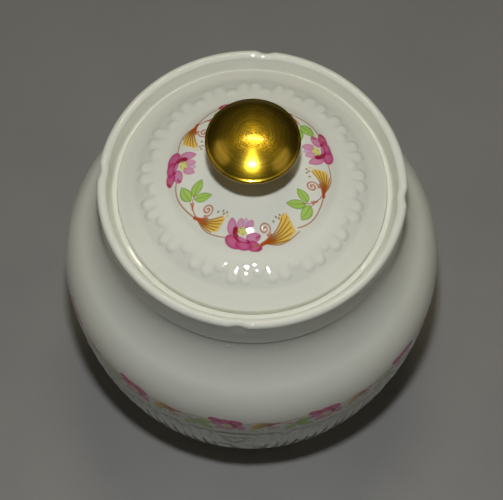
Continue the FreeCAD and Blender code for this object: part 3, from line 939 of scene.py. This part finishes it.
def palmette(view, stretch=1.0):
    """A fan of hatch lines over a yellow wash, growing out of a dark root, with a curl."""
    root = np.array((-13.6, 0.8))

    def spread(points):
        return [tuple(root + stretch * (np.array(point) - root)) for point in points]

    view.wash(spread([(-12.4, 0.4), (-9.2, 0.0), (-6.5, 0.9), (-6.1, 5.2), (-8.2, 5.0)]), WASH, 0.85)
    for end in spread([(-8.3, 0.2), (-7.5, 1.1), (-7.0, 2.1), (-6.7, 3.2), (-6.6, 4.3), (-7.2, 5.2)]):
        bend = ((root[0] + end[0]) / 2 + 0.2, (root[1] + end[1]) / 2 - 0.15)
        view.brush([root, bend, end], 0.5, 0.22, HATCH, 0.92)
    view.brush([(-14.4, 0.6), (-12.9, 1.4), (-11.3, 2.7)], 0.95, 0.4, ROOT)
    view.brush([(-14.4, 0.6), (-12.4, 0.9), (-10.6, 1.2)], 0.75, 0.3, ROOT, 0.85)
    centre = (-13.1, 4.3)
    turns = np.radians(np.linspace(-75, 520, 40))
    reach = np.linspace(2.0, 0.25, 40)
    curl = [(-11.6, 2.2)] + [(centre[0] + r * math.cos(a), centre[1] + r * 0.88 * math.sin(a))
                             for a, r in zip(turns, reach)]
    view.brush(curl, 0.45, 0.6, CURL, 0.85)
    for place, shade in (((-9.6, 5.6), OLIVE), ((-8.2, 6.5), OLIVE), ((-6.6, 6.6), TWIG),
                         ((-7.4, 5.9), OLIVE), ((-5.9, 5.7), WASH)):
        view.dot(place, 0.75, shade)


def fine_line(view):
    """The thin line that carries the spray."""
    view.brush([(-26.6, 0.5), (-24.4, -0.1), (-21.3, -0.35), (-17.6, 0.1), (-14.4, 0.6)],
               0.3, 0.38, FINE_LINE, 0.9)
    view.brush([(-12.9, 0.6), (-11.0, 0.0), (-9.3, -0.25), (-6.8, 0.0), (-3.6, 0.6)],
               0.36, 0.28, FINE_LINE, 0.9)


def flower(view):
    """A wild rose seen from the side: middle, length, width and tilt of each petal, two colours."""
    for petal in (
        ((-0.5, 4.9), 2.9, 2.6, 95, PINK, ROSE, 0.75),
        ((2.7, 4.6), 3.5, 2.6, 50, PINK, ROSE, 0.8),
        ((1.1, 5.2), 2.7, 2.2, 80, LILAC, PINK, 0.65),
        ((-3.1, 3.7), 4.6, 3.0, 115, PINK, ROSE, 0.9),
        ((3.9, 1.5), 4.4, 2.7, 8, PINK, ROSE, 0.92),
        ((-1.7, -0.1), 4.8, 2.8, -22, ROSE, MAGENTA, 0.95),
        ((4.1, -0.6), 4.2, 2.4, -14, ROSE, MAGENTA, 0.95),
        ((1.3, -0.4), 4.6, 2.4, -6, ROSE, MAGENTA, 0.95),
    ):
        view.petal(*petal)
    view.brush([(-1.7, 3.0), (-1.5, 1.9), (-0.2, 0.9), (2.4, 0.5)], 1.7, 0.8, CRIMSON, 0.95)
    view.petal((0.8, 0.9), 2.9, 1.1, -14, PINK, ROSE, 0.85)
    for tip in ((5.9, -0.9), (5.7, 1.9)):
        view.brush([(tip[0] - 0.9, tip[1] - 0.5), tip], 0.7, 0.5, CRIMSON, 0.6)
    heart = (0.5, 2.9)
    view.petal(heart, 2.9, 2.0, 0, STAMEN, STAMEN, 0.85)
    stamens = 9
    for index in range(stamens):
        angle = 2 * math.pi * index / stamens
        place = (heart[0] + 1.25 * math.cos(angle), heart[1] + 0.75 * math.sin(angle))
        view.dot(place, 0.42, OLIVE if index % 2 else STAMEN)


def flower_spray(view):
    fine_line(view)
    leaf_sprig(view)
    palmette(view)
    flower(view)


def snipped_spray(view):
    fine_line(view)
    palmette(view, CUT_STRETCH)


# ---- knob ----

KNOB_FOOT_RADIUS = 4.7
KNOB_FOOT_HEIGHT = 1.6
KNOB_NECK_RADIUS = 3.7
KNOB_NECK_HEIGHT = 6.0
SKIRT_FLARE = 2.4
SKIRT_RISE = 6.0
KNOB_RIM_THICKNESS = 1.3
KNOB_CROWN = 4.3
CROWN_CURVE = 25.0  # radius of the sphere that the middle of the crown lies on
CROWN_REACH = 8.0  # out to here; a tighter curve runs on to the rim
BORE_RADIUS = 2.02
BORE_DEPTH = 11.4


def knob_crown(rim_over):
    """The top of the knob: a tighter curve up from the rim that blends into a sphere."""
    centre = (0, KNOB_TOP - CROWN_CURVE)
    bend = np.array((CROWN_REACH, height_on_circle(centre, CROWN_CURVE, CROWN_REACH)))
    towards = direction(centre, bend)
    span = bend - rim_over
    facing = np.array(on_circle((0, 0), 1, towards))
    edge_curve = (span @ span) / (2 * span @ facing)
    edge_centre = on_circle(bend, -edge_curve, towards)
    edge = arc(edge_centre, edge_curve, direction(edge_centre, rim_over), towards, 0.3)
    middle = arc(centre, CROWN_CURVE, towards, 90, 0.3)
    middle[-1, 0] = 0
    return joined(edge, middle)


def build_knob():
    rim = KNOB_TOP - KNOB_CROWN
    neck = KNOB_FOOT + KNOB_NECK_HEIGHT
    rim_round = KNOB_RIM_THICKNESS / 2
    rim_centre = (KNOB_RADIUS - rim_round, rim)
    bore_top = KNOB_FOOT + BORE_DEPTH
    base = rounded_run([
        (0, bore_top, 0),
        (BORE_RADIUS, bore_top, 0),
        (BORE_RADIUS, KNOB_FOOT, 0),
        (KNOB_FOOT_RADIUS, KNOB_FOOT, SMALL_ROUND / 4),
        (KNOB_FOOT_RADIUS, KNOB_FOOT + KNOB_FOOT_HEIGHT, SMALL_ROUND / 2),
        (KNOB_NECK_RADIUS, KNOB_FOOT + KNOB_FOOT_HEIGHT + SMALL_ROUND, SMALL_ROUND),
        (KNOB_NECK_RADIUS, neck, 0),
    ], 0.35)
    skirt_middle = (KNOB_NECK_RADIUS + SKIRT_FLARE, neck + SKIRT_RISE)
    rim_under = (rim_centre[0], rim - rim_round)
    skirt = three_point_arc((KNOB_NECK_RADIUS, neck), skirt_middle, rim_under, 0.4)
    rim_edge = arc(rim_centre, rim_round, -90, 90, 0.12)
    rim_over = (rim_centre[0], rim + rim_round)
    outline = joined(base, skirt, rim_edge, knob_crown(rim_over))
    return turned("gilt_knob", [Run(outline[::-1], KNOB_COLUMNS)])[0]


# ---- materials ----


class Shader:
    """A node material around one Principled BSDF."""

    def __init__(self, name, **inputs):
        self.material = bpy.data.materials.new(name)
        self.material.use_nodes = True
        self.tree = self.material.node_tree
        self.surface = self.tree.nodes["Principled BSDF"]
        self.feed_all(self.surface, inputs)
        self.place = self.add("TexCoord").outputs["Object"]

    def feed(self, socket, value):
        """Gives a socket a link, the colour of a hex code, or a plain value."""
        if isinstance(value, bpy.types.NodeSocket):
            self.tree.links.new(value, socket)
        elif isinstance(value, str):
            socket.default_value = (*colour(value), 1)
        else:
            socket.default_value = value

    def feed_all(self, node, inputs):
        for name, value in inputs.items():
            self.feed(node.inputs[name], value)

    def add(self, kind, inputs=None, **settings):
        node = self.tree.nodes.new("ShaderNode" + kind)
        for name, value in settings.items():
            setattr(node, name, value)
        self.feed_all(node, inputs or {})
        return node

    def finish(self, **inputs):
        self.feed_all(self.surface, inputs)
        return self.material

    def noise(self, scale, detail=2.0, place=None):
        inputs = {"Vector": place or self.place, "Scale": scale, "Detail": detail}
        return self.add("TexNoise", inputs).outputs["Fac"]

    def remap(self, value, low, high, to_low=0.0, to_high=1.0):
        inputs = {"Value": value, "From Min": low, "From Max": high, "To Min": to_low, "To Max": to_high}
        return self.add("MapRange", inputs).outputs["Result"]

    def maths(self, operation, first, second=0.0):
        node = self.add("Math", operation=operation)
        for socket, value in zip(node.inputs, (first, second)):
            self.feed(socket, value)
        return node.outputs["Value"]

    def mix(self, share, first, second):
        node = self.add("Mix", {"Factor": share}, data_type="RGBA")
        colours = [socket for socket in node.inputs if socket.type == "RGBA"]
        for socket, value in zip(colours, (first, second)):
            self.feed(socket, value)
        return [socket for socket in node.outputs if socket.type == "RGBA"][0]

    def bump(self, height, distance, normal=None):
        node = self.add("Bump", {"Height": height, "Distance": distance})
        if normal:
            self.tree.links.new(normal, node.inputs["Normal"])
        return node.outputs["Normal"]

    def attribute(self, name):
        return self.add("Attribute", attribute_name=name)


def porcelain(name):
    """Greenish-white porcelain under clear glaze, with pooled glaze and painted shade in hollows, kiln
    specks and enamel.
    """
    shader = Shader(name)
    enamel = shader.attribute("enamel")
    pool_and_shade = shader.attribute("pooled_glaze_and_shade").outputs["Fac"]

    cloud = shader.noise(22, 3)
    ground = shader.mix(cloud, "e6e8d9", "e2e2d6")
    # pooled glaze and painted shade: the ground turns darker grey-green in the valleys of the relief and
    # in the hollow neck
    ground = shader.mix(shader.maths("MULTIPLY", pool_and_shade, 0.4), ground, "c9cdc0")

    specks = shader.add("TexVoronoi", {"Vector": shader.place, "Scale": 75})
    close = shader.remap(specks.outputs["Distance"], 0.020, 0.012)
    rare = shader.remap(specks.outputs["Color"], 0.80, 0.82)
    ground = shader.mix(shader.maths("MULTIPLY", close, rare), ground, "7a6a54")

    painted = shader.mix(enamel.outputs["Alpha"], ground, enamel.outputs["Color"])

    height = shader.add("SeparateXYZ", {"Vector": shader.place}).outputs["Z"]
    ragged = shader.maths("ADD", height, shader.maths("MULTIPLY", shader.noise(300, 3), 0.0008))
    bare_foot = shader.remap(ragged, 0.0013, 0.0009)
    clay = shader.mix(shader.noise(900, 4), "d8d4c6", "b9b2a0")
    base = shader.mix(bare_foot, painted, clay)

    waves = shader.noise(55, 2)
    peel = shader.noise(420, 2)
    normal = shader.bump(waves, 0.00035)
    normal = shader.bump(peel, 0.000018, normal=normal)
    normal = shader.bump(enamel.outputs["Alpha"], 0.00002, normal=normal)
    glazed = shader.maths("SUBTRACT", 1.0, bare_foot)
    return shader.finish(**{
        "Base Color": base,
        "Roughness": 0.75,
        "Specular IOR Level": shader.remap(bare_foot, 0, 1, 0.05, 0.4),
        "Coat Weight": glazed,
        "Coat Roughness": 0.02,
        "Coat IOR": 1.5,
        "Normal": normal,
        "Coat Normal": normal,
    })


def gilt_brass():
    """Lathe-brushed gilt brass: rings of fine scratches round the axis under lacquer."""
    shader = Shader("gilt_brass", Metallic=1.0)
    split = shader.add("SeparateXYZ", {"Vector": shader.place})
    x = split.outputs["X"]
    y = split.outputs["Y"]
    squared = shader.maths("ADD", shader.maths("MULTIPLY", x, x), shader.maths("MULTIPLY", y, y))
    radius = shader.maths("SQRT", squared)
    height = split.outputs["Z"]
    rings_at = shader.add("CombineXYZ", {"X": radius, "Y": height}).outputs["Vector"]
    fine = shader.noise(9000, 3, rings_at)
    coarse = shader.noise(1500, 2, rings_at)
    smudge = shader.noise(160, 4)
    tone = shader.mix(shader.remap(coarse, 0.3, 0.7), "dcba2c", "c49f20")
    tone = shader.mix(shader.remap(smudge, 0.45, 0.75, 0, 0.35), tone, "a8801c")
    brushed = shader.remap(fine, 0.3, 0.7, 0.21, 0.29)
    rough = shader.maths("ADD", brushed, shader.remap(smudge, 0.5, 0.8, 0, 0.06))
    normal = shader.bump(fine, 0.000003)
    normal = shader.bump(coarse, 0.000007, normal=normal)
    tangent = shader.add("Tangent", direction_type="RADIAL", axis="Z").outputs["Tangent"]
    return shader.finish(**{
        "Base Color": tone,
        "Roughness": rough,
        "Anisotropic": 0.6,
        "Anisotropic Rotation": 0.25,
        "Tangent": tangent,
        "Normal": normal,
        "Coat Weight": 0.5,
        "Coat Roughness": 0.14,
        "Coat IOR": 1.7,
    })


def plated_steel(name, light, dark):
    """Zinc-plated steel with a faint crystalline mottle and handling scratches."""
    shader = Shader(name, Metallic=1.0)
    mottle = shader.add("TexVoronoi", {"Vector": shader.place, "Scale": 900}).outputs["Distance"]
    wear = shader.noise(400, 5)
    tone = shader.mix(shader.remap(mottle, 0, 0.9), light, dark)
    rough = shader.remap(wear, 0.3, 0.7, 0.28, 0.5)
    normal = shader.bump(wear, 0.00003)
    return shader.finish(**{"Base Color": tone, "Roughness": rough, "Normal": normal})


def soft_washer():
    """Dark rubbery washer with a fine grain."""
    shader = Shader("soft_washer")
    grain = shader.noise(1800, 5)
    tone = shader.mix(grain, "2a2622", "3d3832")
    rough = shader.remap(grain, 0.3, 0.7, 0.6, 0.85)
    return shader.finish(**{"Base Color": tone, "Roughness": rough, "Normal": shader.bump(grain, 0.00008)})


def pale_floor():
    """Plain pale grey table with a barely visible mottle."""
    shader = Shader("pale_floor")
    mottle = shader.noise(30, 5)
    tone = shader.mix(mottle, "8d8c89", "848381")
    rough = shader.remap(mottle, 0.3, 0.7, 0.45, 0.6)
    return shader.finish(**{"Base Color": tone, "Roughness": rough})


def dress(piece, material):
    piece.data.materials.clear()
    piece.data.materials.append(material)


# ---- floor, light and camera ----


def build_floor():
    half = 1.6  # metres
    mesh = bpy.data.meshes.new("floor")
    corners = [(-half, -half, 0), (half, -half, 0), (half, half, 0), (-half, half, 0)]
    mesh.from_pydata(corners, [], [(0, 1, 2, 3)])
    floor = in_scene("floor", mesh)
    dress(floor, pale_floor())


def around_axis(azimuth, distance, height):
    return Vector((*on_circle((0, 0), distance, azimuth), height))


def aimed(location, target):
    """Placement in metres of something at a point that looks at another, both in millimetres."""
    turn = (target - location).to_track_quat("-Z", "Y").to_matrix().to_4x4()
    return Matrix.Translation(location * MM) @ turn


def build_lights():
    lid_middle = Vector((0, 0, RIM_TOP))
    for name, place, size, power, tint in LIGHTS:
        light = bpy.data.lights.new(name, "AREA")
        light.shape = "ELLIPSE"
        light.size = size[0] * MM
        light.size_y = size[1] * MM
        light.energy = power
        light.color = tint
        in_scene(name, light).matrix_world = aimed(around_axis(*place), lid_middle)


def build_world():
    """Soft surroundings, dark at the horizon and brighter overhead."""
    world = bpy.data.worlds.new("studio")
    bpy.context.scene.world = world
    world.use_nodes = True
    tree = world.node_tree
    place = tree.nodes.new("ShaderNodeTexCoord")
    split = tree.nodes.new("ShaderNodeSeparateXYZ")
    ramp = tree.nodes.new("ShaderNodeValToRGB")
    stops = ramp.color_ramp.elements
    stops[0].color = (0.05, 0.048, 0.045, 1)
    stops[1].color = (0.42, 0.43, 0.45, 1)
    tree.links.new(place.outputs["Generated"], split.inputs["Vector"])
    tree.links.new(split.outputs["Z"], ramp.inputs["Fac"])
    tree.links.new(ramp.outputs["Color"], tree.nodes["Background"].inputs["Color"])
    tree.nodes["Background"].inputs["Strength"].default_value = 0.1


def build_camera():
    level = CAMERA_DISTANCE * math.cos(math.radians(CAMERA_ELEVATION))
    rise = CAMERA_DISTANCE * math.sin(math.radians(CAMERA_ELEVATION))
    data = bpy.data.cameras.new("camera")
    data.lens = LENS
    data.clip_start = 0.01
    camera = in_scene("camera", data)
    roll = Matrix.Rotation(math.radians(CAMERA_ROLL), 4, "Z")
    location = AIM + around_axis(CAMERA_AZIMUTH, level, rise)
    camera.matrix_world = aimed(location, AIM) @ roll
    bpy.context.scene.camera = camera


# ---- assembly ----


def fit(piece, material, body, node):
    """Puts a finished mesh in the place of its CAD node."""
    dress(piece, material)
    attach(piece, body)
    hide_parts(node)


fit(build_pot(), porcelain("pot_porcelain"), "pot", "pot")
fit(build_lid(), porcelain("lid_porcelain"), "lid_and_knob", "lid")
fit(build_knob(), gilt_brass(), "lid_and_knob", "knob")
dress(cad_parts["knob_screw"], plated_steel("screw_steel", "c9cac6", "a9a9a4"))
dress(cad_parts["steel_washer"], plated_steel("washer_steel", "bcbdba", "989892"))
for soft_node in ("cushion_washer", "knob_washer"):
    dress(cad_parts[soft_node], soft_washer())

build_floor()
build_lights()
build_world()
build_camera()
bpy.context.scene.view_settings.view_transform = "Standard"
